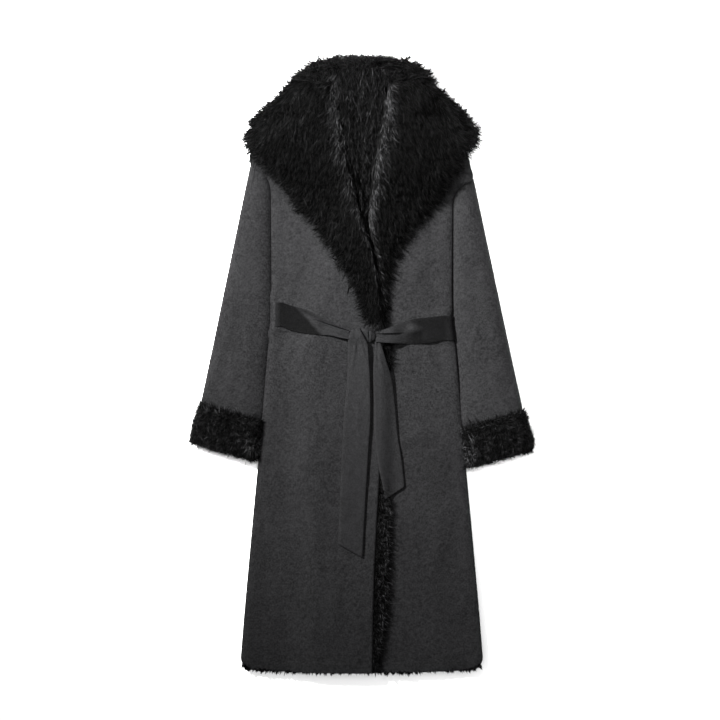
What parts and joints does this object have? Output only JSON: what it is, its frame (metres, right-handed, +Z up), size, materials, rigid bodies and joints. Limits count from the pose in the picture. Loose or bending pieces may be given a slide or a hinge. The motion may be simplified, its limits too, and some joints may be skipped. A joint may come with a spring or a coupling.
{
  "type": "long wrap coat with fur collar, laid flat",
  "caption": "Long charcoal wrap coat laid flat, with black fur lining, shawl collar and turned-back cuffs, and a tied belt.",
  "frame": {"origin": "middle of the coat's underside, on the surface it lies on", "axes": "+X across the coat towards the wearer's left side, +Y from hem to collar, +Z up from the surface"},
  "size_m": [0.7254, 1.304, 0.0773],
  "materials": {
    "cloth": "matt charcoal twill with a soft sheen",
    "fur": "black long-pile faux fur",
    "belt": "satin-faced charcoal cloth"
  },
  "bodies": {
    "root": {"back_panel": "cloth", "right_front": "cloth", "left_front": "cloth", "right_sleeve_top": "cloth", "right_sleeve_under": "cloth", "left_sleeve_top": "cloth", "left_sleeve_under": "cloth", "back_lining": "fur", "right_front_lining": "fur", "left_front_lining": "fur", "right_cuff": "fur", "left_cuff": "fur", "right_lapel": "fur", "left_lapel": "fur", "collar_back": "fur", "collar_fall": "fur", "belt_right": "belt", "belt_left": "belt", "belt_back": "belt", "belt_knot": "belt", "belt_tail_right": "belt", "belt_tail_left": "belt"}
  },
  "joints": []
}
